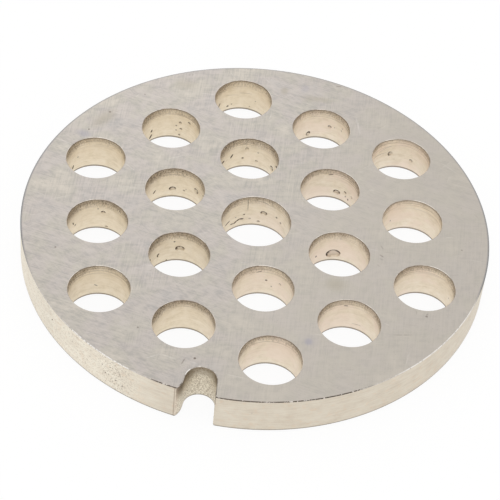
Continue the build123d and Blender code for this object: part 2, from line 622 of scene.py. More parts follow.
# %% Collect the surface
class Casting:
    """The plate's surface while it is put together: points in millimetres, faces and finishes.

    Each point also carries a mark and a tone. On the ground face the mark goes from 1 for dirt to -1
    for a bright scrape, and in a blowhole from 1 for painted shade to -1 for a painted highlight. On
    the ground face the tone goes from 1 for a warm stain to -1 for a blue one, and on a bore's wall it
    says how torn the skin is, with painted shade added on the bore's left and right. The finishes
    read both.
    """

    def __init__(self):
        self.points, self.marks, self.tones = [], [], []
        self.faces, self.finishes = [], []

    def add_points(self, points, marks=None, tones=None):
        """Adds points and gives their numbers."""
        first = len(self.points)
        self.points.extend(points)
        self.marks.extend(marks or [0.0] * len(points))
        self.tones.extend(tones or [0.0] * len(points))
        return list(range(first, len(self.points)))

    def add_face(self, corners, finish):
        """Adds one face with the number of its finish."""
        self.faces.append(corners)
        self.finishes.append(finish)

    def join(self, one, other, finish):
        """A band of quads between two loops of equally many points."""
        for step in range(len(one)):
            after = (step + 1) % len(one)
            self.add_face((one[step], one[after], other[after], other[step]), finish)


print("a casting starts with", len(Casting().points), "points")

# %% Fill a strip with points
ROW_GAP = 0.5
BORDER_ROOM = 0.02
CLEAR_OF_BOWL = 1.4
IN_ANOTHER_BOWL = 1.05


def strip_points(path, stops, low, high, holes):
    """The flat points of a strip: its border first, then its inside and its blowholes."""
    length = path.length
    rows = max(2, round((high - low) / ROW_GAP))
    columns = [*stops, length]
    border = [(along, low) for along in columns] + [(along, high) for along in columns]
    heights = [low + (high - low) * r / rows for r in range(1, rows)]
    border += [(0.0, up) for up in heights] + [(length, up) for up in heights]
    inside = []
    for number, up in enumerate(heights):
        # Every second column, and in the next row the columns between them.
        for along in stops[2 - number % 2:-1:2]:
            if all(hole.reach(along, up) > CLEAR_OF_BOWL for hole in holes):
                inside.append((along, up))
    for hole in holes:
        inside.extend(
            point for point in hole.points()
            if low + BORDER_ROOM < point[1] < high - BORDER_ROOM
            and all(other is hole or other.reach(*point) >= IN_ANOTHER_BOWL for other in holes)
        )
    return border, inside, len(heights)


strip = strip_points(test_path, test_path.stops(), CAST_EDGE, THICKNESS, [])
print("a plain strip has", len(strip[0]), "points on its border and", len(strip[1]), "inside")

# %% Bend a strip into a wall
def build_wall(casting, path, stops, low, high, holes, finish_at, tone_at=lambda along: 0.0):
    """Bends a strip round a path. Gives its lower and upper loops of points."""
    columns = len(stops)
    border, inside, rows = strip_points(path, stops, low, high, holes)
    flat = border + inside
    result = delaunay_2d_cdt([Vector(point) for point in flat], [], [], 0, 1e-6)
    out_faces, origins = result[2], result[3]
    placed, marks = [], []
    for along, up in flat:
        (x, y), (out_x, out_y) = path.at(along)
        back = max((hole.hollow(along, up) for hole in holes), default=0.0)
        placed.append((x - out_x * back, y - out_y * back, up))
        marks.append(max((hole.mark(along, up) for hole in holes), key=abs, default=0.0))

    # The last column is the first one again, so its points are left out in favour of their twins.
    upper_start, left_side = columns + 1, 2 * columns + 2
    right_side = left_side + rows
    twin_of = {columns: 0, upper_start + columns: upper_start}
    twin_of.update({right_side + row: left_side + row for row in range(rows)})
    kept = [i for i in range(len(flat)) if i not in twin_of]
    numbers = casting.add_points(
        [placed[i] for i in kept], [marks[i] for i in kept], [tone_at(flat[i][0]) for i in kept])
    number_of = dict(zip(kept, numbers))
    number_of.update({i: number_of[twin] for i, twin in twin_of.items()})

    for face in out_faces:
        flat_corners = [origins[corner][0] for corner in face]
        corners = tuple(number_of[i] for i in flat_corners)
        if len(set(corners)) == 3:
            casting.add_face(corners, finish_at(sum(flat[i][0] for i in flat_corners) / 3))
    lower = [number_of[i] for i in range(columns)]
    upper = [number_of[upper_start + i] for i in range(columns)]
    return lower, upper


test_wall = Casting()
build_wall(test_wall, test_path, test_path.stops(), CAST_EDGE, THICKNESS, [], lambda along: 0)
print("bent round, the plain strip has", len(test_wall.faces), "faces")

# %% Build the edges
EDGE_STEPS = 4


def edge_loop(casting, path, stops, inward, up):
    """A loop of points along a path, moved into the metal by a distance, at one height."""
    placed = []
    for along in stops:
        (x, y), (out_x, out_y) = path.at(along)
        placed.append((x - out_x * inward, y - out_y * inward, up))
    return casting.add_points(placed)


def round_edge(casting, path, stops, loop, radius, finish):
    """Rounds a wall's lower loop over onto the lower face. Gives the new last loop."""
    for step in range(1, EDGE_STEPS + 1):
        turn = math.pi / 2 * step / EDGE_STEPS
        inward = radius * (1 - math.cos(turn))
        up = radius * (1 - math.sin(turn))
        after = edge_loop(casting, path, stops, inward, up)
        casting.join(loop, after, finish)
        loop = after
    return loop


print("a rounded edge has", EDGE_STEPS, "steps")

# %% [markdown]
# ## Marks on the ground face
#
# The knife has swept the ground face for years. It has left fine scratches, a few deeper ticks,
# some small pits and soft stains. An image could hold them, but the mesh can carry them itself, and
# then they stay sharp at any size. The larger ones are listed, and many faint scratches are drawn at
# random. A scratch is three rows of points, whose middle row lies a little lower and carries the
# mark, and a pit is a small ring. A stain has no depth: it only changes the tone of the points near
# it, and brings a few rings of points so that its outline shows.

# %% Marks of use
SCRATCHES = [
    # from x, from y, to x, to y, width and mark
    (21.2, -14.4, 23.7, -13.6, 0.14, 0.35), (-7.4, -27.4, -5.8, -26.1, 0.14, -0.2),
    (16.85, -1.0, 17.64, -1.42, 0.15, 0.55), (-16.3, 25.5, -15.4, 25.8, 0.16, 0.6),
    (4.4, 29.9, 5.3, 30.1, 0.16, 0.6), (16.65, 0.76, 17.23, 0.03, 0.15, 0.3),
    (17.0, -1.7, 17.6, -1.9, 0.15, 0.3), (16.83, -2.85, 17.46, -3.22, 0.15, 0.25),
    (24.5, -10.3, 24.9, -9.4, 0.14, 0.5), (23.4, -9.3, 23.5, -10.1, 0.1, 0.25),
    (-2.75, -25.9, -2.95, -27.1, 0.13, 0.55), (-20.0, 0.6, -16.6, 1.2, 0.18, -0.1),
    (8.4, 24.7, 9.9, 20.8, 0.18, -0.15), (-14.6, 7.6, -12.2, 9.4, 0.2, -0.12),
]
PITS = [
    # x, y, radius and mark
    (-26.2, 10.2, 0.11, 0.6), (-24.5, 14.5, 0.14, 0.5), (-9.7, -22.8, 0.1, 0.5),
    (-1.6, -25.6, 0.13, 0.8), (-23.7, -12.7, 0.1, 0.6), (24.8, -10.0, 0.12, 0.6),
    (-20.9, 19.6, 0.1, 0.35), (27.2, 3.1, 0.1, 0.4),
]
STAINS = [
    # x, y, reach along x, reach along y, turn and tone
    (-26.5, 9.1, 1.5, 0.9, -15, -0.8), (-24.9, 12.9, 1.2, 2.8, -25, 0.8),
    (-15.9, 23.5, 2.2, 1.4, 20, 0.5), (-2.3, 26.6, 0.7, 1.0, 0, 0.8), (0.4, 28.0, 0.7, 1.0, 0, -0.5),
    (2.4, 26.3, 2.9, 0.7, 8, 0.7), (12.5, -8.1, 1.6, 1.4, 0, 0.7), (11.3, -18.7, 0.6, 0.7, 0, -1.0),
    (11.3, -18.5, 1.6, 1.3, 0, -0.25),
]
print(len(SCRATCHES), "scratches,", len(PITS), "pits and", len(STAINS), "stains placed by hand")

# %% Draw the faint scratches
FAINT_SCRATCHES = 160
FAINT_WIDTH = 0.1
FAINTEST_MARK = 0.05
STRONGEST_FAINT_MARK = 0.18
FAINT_DIRECTION = 15
FAINT_SPREAD = 35


def draw_faint_scratches(draw):
    """Short fine scratches at random, most of them across the plate."""
    drawn = []
    while len(drawn) < FAINT_SCRATCHES:
        x, y = draw.uniform(-30, 30), draw.uniform(-30, 30)
        turn = math.radians(draw.gauss(FAINT_DIRECTION, FAINT_SPREAD))
        half = draw.uniform(0.3, 1.5)
        mark = draw.choice((-1, -1, 1)) * draw.uniform(FAINTEST_MARK, STRONGEST_FAINT_MARK)
        step_x, step_y = half * math.cos(turn), half * math.sin(turn)
        drawn.append((x - step_x, y - step_y, x + step_x, y + step_y, FAINT_WIDTH, mark))
    return drawn


print(FAINT_SCRATCHES, "faint scratches to draw")

# %% Turn scratches and pits into points
SCRATCH_STEP = 0.3
SCRATCH_DEPTH = 0.012
PIT_DEPTH = 0.08
PIT_OUTSIDE = 1.6
RING_POINTS = 8


def scratch_points(scratch):
    """A scratch as (x, y, drop, mark) points: its middle row and a row on each side."""
    from_x, from_y, to_x, to_y, width, mark = scratch
    size = math.dist((from_x, from_y), (to_x, to_y))
    across_x, across_y = (from_y - to_y) / size * width, (to_x - from_x) / size * width
    count = max(3, round(size / SCRATCH_STEP))
    points = []
    for i in range(count + 1):
        share = i / count
        x, y = from_x + (to_x - from_x) * share, from_y + (to_y - from_y) * share
        fade = min(1.0, 4 * share, 4 * (1 - share))
        points.append((x, y, SCRATCH_DEPTH * fade, mark * fade))
        points += [(x + side * across_x, y + side * across_y, 0.0, 0.0) for side in (-1, 1)]
    return points


def ring(reach_x, reach_y):
    """Even points on an ellipse round (0, 0)."""
    turns = [2 * math.pi * i / RING_POINTS for i in range(RING_POINTS)]
    return [(reach_x * math.cos(turn), reach_y * math.sin(turn)) for turn in turns]


def pit_points(pit):
    """A pit as (x, y, drop, mark) points: its middle, its edge and a ring outside it."""
    x, y, radius, mark = pit
    points = [(x, y, PIT_DEPTH, mark)]
    for share, ring_mark in ((1.0, mark), (PIT_OUTSIDE, 0.0)):
        points += [(x + dx, y + dy, 0.0, ring_mark) for dx, dy in ring(share * radius, share * radius)]
    return points


print("a scratch has", len(scratch_points(SCRATCHES[0])), "points and a pit", len(pit_points(PITS[0])))

# %% Turn the stains into tones and points
STAIN_RINGS = (0.45, 0.8, 1.05)


def stain_at(x, y):
    """The tone that the stains give a point of the ground face."""
    tone = 0.0
    for middle_x, middle_y, reach_x, reach_y, turn, strength in STAINS:
        cos, sin = math.cos(math.radians(turn)), math.sin(math.radians(turn))
        across, along = x - middle_x, y - middle_y
        far_x, far_y = across * cos + along * sin, along * cos - across * sin
        far = math.hypot(far_x / reach_x, far_y / reach_y)
        tone += strength * max(0.0, 1 - far ** 2)
    return max(-1.0, min(1.0, tone))


def stain_points(stain):
    """Points in and round a stain, so that its outline shows. They have no drop and no mark."""
    x, y, reach_x, reach_y, turn, tone = stain
    cos, sin = math.cos(math.radians(turn)), math.sin(math.radians(turn))
    points = [(x, y, 0.0, 0.0)]
    for share in STAIN_RINGS:
        for along, aside in ring(share * reach_x, share * reach_y):
            points.append((x + along * cos - aside * sin, y + along * sin + aside * cos, 0.0, 0.0))
    return points


print("a stain has", len(stain_points(STAINS[0])), "points")

# %% [markdown]
# ## The two faces
#
# The upper and the lower face are flat, with nineteen round windows. Cutting the windows out of a
# disc with booleans would leave long thin triangles, which shade badly. So the same triangulation
# fills the faces: the loops that the walls ended in are its borders, and any triangle that lands
# inside a bore is thrown away. Points spread over the metal keep the triangles compact.

# %% Where there is metal
GROUND_GRID = 0.9
UNDERSIDE_GRID = 2.0
GRID_MARGIN = 0.5
MARK_MARGIN = 0.25
NOTCH_ROOM = 0.2
FLARE_ROOM = 0.6


def in_a_bore(x, y, margin=0.0):
    """True where a bore takes the metal away."""
    return any(math.dist((x, y), centre) < radius + margin for centre, radius in bores.values())


def on_the_land(x, y, margin):
    """True where a point lies on the metal, clear of the rim, the notch and every bore."""
    room = FLARE_ROOM if y < -(RIM_RADIUS - NOTCH_FLARE_LENGTH - margin) else NOTCH_ROOM
    beside = abs(x) < NOTCH_HALF_WIDTH + room + margin
    in_notch = beside and y < -(RIM_RADIUS - NOTCH_DEPTH - margin)
    return math.hypot(x, y) < RIM_RADIUS - margin and not in_notch and not in_a_bore(x, y, margin)


def face_grid(grid):
    """Evenly spread points on the metal, clear of every edge, in rows of a triangular pattern."""
    row_gap = grid * math.sqrt(3) / 2
    count = math.ceil(RIM_RADIUS / row_gap)
    spread = []
    for row in range(-count, count + 1):
        for column in range(-count, count + 1):
            x, y = (column + 0.5 * (row % 2)) * grid, row * row_gap
            if on_the_land(x, y, GRID_MARGIN):
                spread.append((x, y))
    return spread


print(len(face_grid(GROUND_GRID)), "points spread over the ground face")

# %% Build the faces
def build_face(casting, outer, inner_loops, widening, height, finish, grid, marks=()):
    """Fills a flat face between its outer loop and its inner loops.

    widening is how much wider than the bores the inner loops are, all round.
    """
    numbers, edges = [], []
    for loop in [outer, *inner_loops]:
        first = len(numbers)
        numbers.extend(loop)
        edges.extend((first + i, first + (i + 1) % len(loop)) for i in range(len(loop)))
    flat = [Vector(casting.points[number][:2]) for number in numbers]
    marked = {(round(x, 2), round(y, 2)): (x, y, drop, mark)
              for x, y, drop, mark in marks if on_the_land(x, y, MARK_MARGIN)}
    spread = [(x, y, 0.0, 0.0) for x, y in face_grid(grid)] + list(marked.values())
    numbers.extend(casting.add_points(
        [(x, y, height - drop) for x, y, drop, mark in spread],
        [mark for x, y, drop, mark in spread],
        [stain_at(x, y) for x, y, drop, mark in spread],
    ))
    flat.extend(Vector(point[:2]) for point in spread)
    outline = list(range(len(outer)))
    result = delaunay_2d_cdt(flat, edges[len(outer):], [outline], 1, 1e-6)
    out_points, out_faces, origins = result[0], result[2], result[3]
    for face in out_faces:
        middle_x = sum(out_points[c].x for c in face) / 3
        middle_y = sum(out_points[c].y for c in face) / 3
        if not in_a_bore(middle_x, middle_y, widening):
            casting.add_face(tuple(numbers[origins[c][0]] for c in face), finish)


inner_hole = bores["meat_hole_13"][0]
print("metal in the middle of a meat hole:", on_the_land(*inner_hole, 0.0))

# %% [markdown]
# ## The whole plate
#
# With the parts of the recipe ready, the plate is put together like a casting: nineteen bore
# walls, the rim with its notch, the rounded lower edges, the broken upper edges, and the two
# faces. All of it is one closed surface, because the real plate is one piece of steel.

# %% What each bore is like
HAND_PLACED_SIDE = (5.0, 175.0)
STEEPEST_LIP = 80.0

# How torn the skin is: usually, and in the unusual bores. Painted shade is added on a bore's left and
# right.
USUAL_SKIN = 0.55
SKINS = {"meat_hole_04": 0.3, "meat_hole_10": 0.3}
SKINS.update({f"meat_hole_{number}": 0.7 for number in ("07", "08", "13", "17", "18")})
SKIN_SHARE = 0.8
FLANK_SHADE_SHARE = 0.35


def blowholes_of(name, path, radius, draw):
    """A bore's blowholes: the listed ones, and small random ones on the rest of it."""
    along_of = lambda angle: math.radians(angle - SEAM) * radius
    holes = []
    for angle, up, width, height, lean, *darkness in BLOWHOLES.get(name, []):
        # The painted shade under a bowl's lip turns with the side of the bore that the bowl is on.
        lip = max(-STEEPEST_LIP, min(STEEPEST_LIP, angle - 90))
        holes.append(Blowhole(along_of(angle), up, width, height, lean, *(darkness or [1.0]), lip))
    begin, end = along_of(HAND_PLACED_SIDE[1]), along_of(HAND_PLACED_SIDE[0] + 360)
    return holes + scatter_blowholes(draw, begin, end, path.length)


def torn_skin_and_flank_shade_of(name, radius):
    """How torn a bore's skin is at a distance along its wall, with painted shade added on its left and
    right.
    """
    evenly = SKINS.get(name, USUAL_SKIN) * SKIN_SHARE
    return lambda along: min(1.0, evenly + FLANK_SHADE_SHARE * math.cos(along / radius - math.pi / 2) ** 4)


print(len(SKINS), "bores have an unusual skin, and", len(BLOWHOLES), "have blowholes placed by hand")

# %% Build the bores
GROUND, BORE, RIM, NOTCH, BORE_EDGE, RIM_EDGE, UNDERSIDE = range(7)


def build_bore(casting, name, centre, radius, draw):
    """One bore with its rounded lower edge. Gives the loops for the upper and the lower face."""
    path = bore_path(centre, radius)
    stops = path.stops()
    holes = blowholes_of(name, path, radius, draw)
    lower, upper = build_wall(casting, path, stops, CAST_EDGE, THICKNESS - HOLE_EDGE, holes,
                              lambda along: BORE, torn_skin_and_flank_shade_of(name, radius))
    lower = round_edge(casting, path, stops, lower, CAST_EDGE, BORE)
    top = edge_loop(casting, path, stops, HOLE_EDGE, THICKNESS)
    casting.join(upper, top, BORE_EDGE)
    return top, lower


print(len(bores), "bores to build")

# %% Build the rim
RIM_SCATTER_START = 45.0
RIM_SCATTER_END = 1.0


def build_rim(casting, draw):
    """The rim and the notch. Gives the loops for the upper and the lower face."""
    stops = rim.stops()
    left_corner, right_corner = rim.pieces[1], rim.pieces[6]
    notch_begin, notch_end = (begin + size / 2 for begin, size, *_ in (left_corner, right_corner))
    finish_at = lambda along: NOTCH if notch_begin < along < notch_end else RIM
    along_of = lambda angle: math.radians(angle % 360 - 90) * RIM_RADIUS
    holes = [Blowhole(along_of(angle), *rest) for angle, *rest in RIM_BLOWHOLES]
    scatter = (notch_end + RIM_SCATTER_START, rim.length - RIM_SCATTER_END)
    holes += scatter_blowholes(draw, *scatter, rim.length)
    lower, upper = build_wall(casting, rim, stops, CAST_EDGE, THICKNESS - GROUND_EDGE, holes, finish_at)
    lower = round_edge(casting, rim, stops, lower, CAST_EDGE, RIM)
    top = edge_loop(casting, rim, stops, GROUND_EDGE, THICKNESS)
    casting.join(upper, top, RIM_EDGE)
    return top, lower


print("the rim has", len(rim.stops()), "columns")

# %% Put the plate together
SEED = 8


def build_plate():
    """The plate as one closed surface in millimetres."""
    casting = Casting()
    draw = random.Random(SEED)
    tops, lowers = [], []
    for name, (centre, radius) in bores.items():
        top, lower = build_bore(casting, name, centre, radius, draw)
        tops.append(top)
        lowers.append(lower)
    rim_top, rim_lower = build_rim(casting, draw)
    scratches = SCRATCHES + draw_faint_scratches(draw)
    marks = [point for scratch in scratches for point in scratch_points(scratch)]
    marks += [point for pit in PITS for point in pit_points(pit)]
    marks += [point for stain in STAINS for point in stain_points(stain)]
    build_face(casting, rim_top, tops, HOLE_EDGE, THICKNESS, GROUND, GROUND_GRID, marks)
    build_face(casting, rim_lower, lowers, CAST_EDGE, 0.0, UNDERSIDE, UNDERSIDE_GRID)
    return casting


casting = build_plate()
print(len(casting.points), "points and", len(casting.faces), "faces")

# %% [markdown]
# ## Building blocks for the finishes
#
# Nearly all of every finish is noise, and what changes is the size of its grain. Images would need
# unwrapping and would blur close up, and noise does neither. So one helper makes noise with a grain
# that is so many millimetres long, wide and high, and may be turned. Long thin grains make grinding
# lines, flat ones make drilling rings, and tall ones make streaks down a wall.

# %% Noise and sums
def place_on(tree):
    """A point's place on the piece, in metres."""
    return add(tree, "TexCoord").outputs["Object"]


def grain(tree, size, turn=0.0, detail=3.0, roughness=0.6):
    """Noise whose grain has a size in millimetres along x, y and z."""
    place = add(tree, "Mapping", {
        "Vector": place_on(tree),
        "Rotation": (0, 0, math.radians(turn)),
        "Scale": [length * MM for length in size],
    }, vector_type="TEXTURE").outputs[0]
    return add(tree, "TexNoise", {
        "Vector": place, "Scale": 1.0, "Detail": detail, "Roughness": roughness}).outputs["Fac"]


def sum_of(tree, *terms, plus=0.0):
    """A weighted sum of values."""
    total = plus
    for value, weight in terms:
        total = add(tree, "Math", {0: value, 1: weight, 2: total}, operation="MULTIPLY_ADD").outputs[0]
    return total


def product_of(tree, one, other):
    """Two values multiplied."""
    return add(tree, "Math", {0: one, 1: other}, operation="MULTIPLY").outputs[0]


def band(tree, value, low, high):
    """0 where a value is at low, 1 where it is at high, and a soft step between."""
    return add(tree, "MapRange", {0: value, 1: low, 2: high, 3: 0.0, 4: 1.0},
               interpolation_type="SMOOTHSTEP").outputs[0]


def between(tree, value, low, high, soft):
    """1 between two limits and 0 beyond them, with soft steps."""
    rise = band(tree, value, low - soft, low + soft)
    fall = band(tree, value, high - soft, high + soft)
    return sum_of(tree, (rise, 1.0), (fall, -1.0))


print("noise and sums ready")

# %% [markdown]
# ## Where on the plate
#
# Dirt, wear and painted light and shade aren't even: painted shade sits low on a wall, painted
# glints sit on some stretches of an edge, and a stain has its place. These helpers measure where a
# point is, in millimetres and degrees, so that a finish can change from place to place and still
# stay fixed to the metal.

# %% Helpers that measure
FAR_SIDE_RIGHT = (-12, -4)
FAR_SIDE_LEFT = (-140, -160)


def height_up(tree):
    """The height of a point over the lower face."""
    up = add(tree, "SeparateXYZ", {0: place_on(tree)}).outputs["Z"]
    return sum_of(tree, (up, 1 / MM))


def across(tree, x_share, y_share):
    """A point's place along a direction in the plate's plane."""
    place = add(tree, "SeparateXYZ", {0: place_on(tree)})
    return sum_of(tree, (place.outputs["X"], x_share / MM), (place.outputs["Y"], y_share / MM))


def round_the_rim(tree):
    """The direction from the plate's middle in degrees: -90 is the notch, and 0 the right side."""
    place = add(tree, "SeparateXYZ", {0: place_on(tree)})
    turn = add(tree, "Math", {0: place.outputs["Y"], 1: place.outputs["X"]}, operation="ARCTAN2")
    return sum_of(tree, (turn.outputs[0], math.degrees(1)))


def far_side(tree, turn):
    """1 on the side away from the notch, in two parts, because the direction jumps there."""
    right = band(tree, turn, *FAR_SIDE_RIGHT)
    left = band(tree, turn, *FAR_SIDE_LEFT)
    return sum_of(tree, (right, 1.0), (left, 1.0))


def out_from_middle(tree):
    """The distance from the plate's axis."""
    flat = add(tree, "VectorMath", {0: place_on(tree), 1: (1, 1, 0)}, operation="MULTIPLY").outputs[0]
    out = add(tree, "VectorMath", {0: flat}, operation="LENGTH").outputs["Value"]
    return sum_of(tree, (out, 1 / MM))


def near(tree, place, reach):
    """1 close to a place on the edge of the ground face, and 0 beyond a reach, in millimetres."""
    place = (place[0] * MM, place[1] * MM, THICKNESS * MM)
    far = add(tree, "VectorMath", {0: place_on(tree), 1: place}, operation="DISTANCE").outputs["Value"]
    return band(tree, far, reach * MM, reach * MM / 2)


def from_points(tree, name, sign=1):
    """A value that the points carry: its positive side, or its negative side turned positive."""
    value = add(tree, "Attribute", attribute_name=name).outputs["Fac"]
    return add(tree, "Math", {0: value, 1: sign}, operation="MULTIPLY", use_clamp=True).outputs[0]


print("the far side is full from", FAR_SIDE_RIGHT[1], "degrees round the back to", FAR_SIDE_LEFT[1])

# %% [markdown]
# ## Colours in layers
#
# A worn surface is like a painting: a ground colour first, then stains, then dirt, then the dark
# and bright marks on top. So a finish starts with shades of one value, and lays one colour after
# another on it, each by its own share. The last step of each finish is the same: one metal shader
# with a little relief.

# %% Helpers that colour
def shades(tree, value, *stops):
    """A value as colours: stops are (position, colour)."""
    node = add(tree, "ValToRGB", {0: value})
    elements = node.color_ramp.elements
    while len(elements) < len(stops):
        elements.new(0.5)
    for element, (position, colour) in zip(elements, stops):
        element.position = position
        element.color = (*colour, 1)
    return node.outputs["Color"]


def lay(tree, share, under, over, how="MIX", strength=1.0):
    """One colour laid on another by a share, which a strength below 1 makes weaker."""
    if strength != 1.0:
        share = product_of(tree, share, strength)
    if not isinstance(over, bpy.types.NodeSocket):
        over = (*over, 1)
    node = add(tree, "MixRGB", {"Fac": share, "Color1": under, "Color2": over}, blend_type=how)
    return node.outputs[0]


def lay_marks(tree, colour, dark, bright):
    """The dark and the bright marks that the points carry, laid on a colour."""
    colour = lay(tree, from_points(tree, "mark"), colour, dark)
    return lay(tree, from_points(tree, "mark", -1), colour, bright)


def finish_metal(material, tree, colour, bump, metallic, roughness, depth):
    """The shader of a finish. bump is its relief, and depth is how deep that is in millimetres."""
    relief = add(tree, "Bump", {"Height": bump, "Strength": 1.0, "Distance": depth * MM})
    shader = add(tree, "BsdfPrincipled", {
        "Base Color": colour, "Metallic": metallic, "Roughness": roughness, "Normal": relief.outputs[0]})
    add(tree, "OutputMaterial", {"Surface": shader.outputs[0]})
    return material


print("colouring ready")

# %% [markdown]
# ## The ground face
#
# A grinding wheel leaves bare steel with a satin sheen and lines so fine that they only show
# together. Wiping and washing leave clouds of slightly different greys over them. A plain satin
# metal would look like plastic here, so the colour is made of wide clouds, narrower blotches and
# long thin grains in the directions in which the plate was ground and wiped. The right side is
# calmer. The stains and scratches are laid on top, and a thin grey line follows the far edge.

# %% The ground face
STEEL_CLOUDS = (
    (0.32, (0.52, 0.49, 0.468)), (0.45, (0.55, 0.51, 0.48)),
    (0.55, (0.53, 0.50, 0.455)), (0.66, (0.59, 0.55, 0.495)),
)
LINE_SHADES = ((0.415, (0.78, 0.795, 0.81)), (0.5, (0.93, 0.93, 0.93)), (0.585, (1, 1, 1)))
CALM_STEEL = (0.515, 0.48, 0.43)
WARM_STAIN = (0.39, 0.355, 0.28)
BLUE_STAIN = (0.35, 0.34, 0.41)
DARK_SPECK = (0.25, 0.22, 0.2)
CALM_SIDE = (-4, 14)
FAR_LINE_GREY = (0.27, 0.27, 0.28)
FAR_LINE = (RIM_RADIUS - 0.3, RIM_RADIUS - 0.16)
DARK_SCRATCH = (0.16, 0.13, 0.11)
BRIGHT_SCRATCH = (0.95, 0.92, 0.88)


def grinding_lines(tree):
    """Long thin grains: two directions of grinding and two of wiping, each in regions of its own."""
    region = band(tree, grain(tree, (9, 9, 9), detail=1.0), 0.44, 0.56)
    along, over = grain(tree, (4.0, 0.11, 1), turn=-6), grain(tree, (3.0, 0.12, 1), turn=97)
    ground = lay(tree, region, along, over)
    along, over = grain(tree, (2.5, 0.18, 1), turn=-38), grain(tree, (3.0, 0.16, 1), turn=14)
    wiped = lay(tree, region, along, over)
    return sum_of(tree, (ground, 0.65), (wiped, 0.35))


def ground_steel():
    """Ground steel with clouds, grinding lines and the marks of use."""
    material, tree = new_material("ground_steel")
    lines = grinding_lines(tree)
    blotches = grain(tree, (1.3, 0.9, 1.3), turn=30, detail=5.0, roughness=0.7)
    tint = sum_of(tree, (blotches, 0.4), (lines, 0.6))
    colour = shades(tree, grain(tree, (5, 5, 5), detail=5.0), *STEEL_CLOUDS)
    colour = lay(tree, 1.0, colour, shades(tree, tint, *LINE_SHADES), "MULTIPLY")

    calm = band(tree, across(tree, 1.0, -0.15), *CALM_SIDE)
    colour = lay(tree, calm, colour, CALM_STEEL, strength=0.55)
    colour = lay(tree, from_points(tree, "tone"), colour, WARM_STAIN, strength=0.65)
    colour = lay(tree, from_points(tree, "tone", -1), colour, BLUE_STAIN, strength=0.6)
    specks = band(tree, grain(tree, (0.22, 0.22, 0.22), detail=1.0), 0.70, 0.76)
    colour = lay(tree, specks, colour, DARK_SPECK, strength=0.35)
    far_line = band(tree, out_from_middle(tree), *FAR_LINE)
    far_line = product_of(tree, far_side(tree, round_the_rim(tree)), far_line)
    colour = lay(tree, far_line, colour, FAR_LINE_GREY, strength=0.65)
    colour = lay_marks(tree, colour, DARK_SCRATCH, BRIGHT_SCRATCH)
    return finish_metal(material, tree, colour, lines, metallic=1.0, roughness=0.42, depth=0.004)


finishes = [ground_steel()]
print("made", finishes[-1].name)

# %% [markdown]
# ## The drilled walls
#
# The bores are drilled, and their cream colour is partly a skin from the casting's oxide and years
# of grease and partly painted warm light. It is a little rosier on one side of the plate and
# yellower on the other. Near the ground face the skin is torn and dark: in fine streaks and grit, in
# thin layers that follow the drill's rings, and down to an uneven line. The mesh says how torn each
# wall is, and adds painted shade on each bore's left and right. The lower edge holds a thin brown
# line of painted shade. Layers of noise make all of it, because every wall then differs without a
# drawing of each.

# %% The clean skin
CREAM_SKIN_AND_WARM_LIGHT = ((0.34, (0.80, 0.71, 0.565)), (0.5, (0.90, 0.815, 0.68)), (0.66, (0.95, 0.875, 0.765)))
ROSY_SKIN = (0.92, 0.80, 0.70)
ROSY_SIDE = (-8, 8)
YELLOW_TINT = (0.99, 0.98, 0.945)
YELLOW_SIDE = (4, -8)


def clean_skin_and_warm_light(tree, rings):
    """The cream colour before the skin was torn: partly the skin's own colour and partly painted warm
    light.
    """
    patches = grain(tree, (1.2, 1.2, 0.8), detail=5.0, roughness=0.7)
    colour = shades(tree, sum_of(tree, (rings, 0.3), (patches, 0.7)), *CREAM_SKIN_AND_WARM_LIGHT)
    clouds = band(tree, grain(tree, (5, 5, 3), detail=2.0), 0.42, 0.6)
    rosy = product_of(tree, clouds, band(tree, across(tree, 1.0, 0), *ROSY_SIDE))
    colour = lay(tree, rosy, colour, ROSY_SKIN, strength=0.6)
    yellow = band(tree, across(tree, 1.0, 0), *YELLOW_SIDE)
    return lay(tree, yellow, colour, YELLOW_TINT, "MULTIPLY")


print("clean skin in", len(CREAM_SKIN_AND_WARM_LIGHT), "shades")

# %% The torn skin
FLANK_SHADE = (0.40, 0.335, 0.26)
FLANK_SHADE_HEIGHTS = (1.2, 4.6)
TORN_SKIN = (0.47, 0.39, 0.295)
TORN_HEIGHTS = (3.9, 5.5)
LAYER_BROWN = (0.40, 0.32, 0.23)
LAYER_HEIGHTS = (3.4, 4.6)
SCORE_BROWN = (0.17, 0.135, 0.10)
GRIT_BROWN = (0.10, 0.075, 0.055)


def torn_skin(tree, colour, up, rings):
    """The skin with its dark band under the ground face, deeper and darker with the painted shade on a
    bore's left and right. Gives the grit in the band too.
    """
    tear_and_flank_shade = from_points(tree, "tone")
    # Painted shade on the bore's left and right, where the wall is seen at a grazing angle.
    dull = product_of(tree, band(tree, tear_and_flank_shade, 0.5, 1.0), band(tree, up, *FLANK_SHADE_HEIGHTS))
    colour = lay(tree, dull, colour, FLANK_SHADE, strength=0.35)
    streaks = grain(tree, (0.16, 0.16, 0.4), detail=3.0, roughness=0.7)
    reach = grain(tree, (2.2, 2.2, 4.0), detail=2.0)
    depth = sum_of(tree, (up, 1.0), (streaks, 1.6), (reach, 1.4), (tear_and_flank_shade, 2.2), plus=-2.75)
    torn = band(tree, depth, *TORN_HEIGHTS)
    colour = lay(tree, torn, colour, TORN_SKIN, strength=0.75)
    layers = product_of(tree, band(tree, rings, 0.50, 0.60), band(tree, up, *LAYER_HEIGHTS))
    colour = lay(tree, layers, colour, LAYER_BROWN, strength=0.5)
    worst = product_of(tree, torn, tear_and_flank_shade)
    scores = product_of(tree, band(tree, streaks, 0.48, 0.6), worst)
    colour = lay(tree, scores, colour, SCORE_BROWN, strength=0.5)
    grit = band(tree, grain(tree, (0.15, 0.15, 0.18), detail=2.0, roughness=0.7), 0.5, 0.58)
    grit = product_of(tree, grit, worst)
    return lay(tree, grit, colour, GRIT_BROWN), grit


print(f"torn skin reaches down from {THICKNESS:.1f} mm to about {TORN_HEIGHTS[0]} mm")

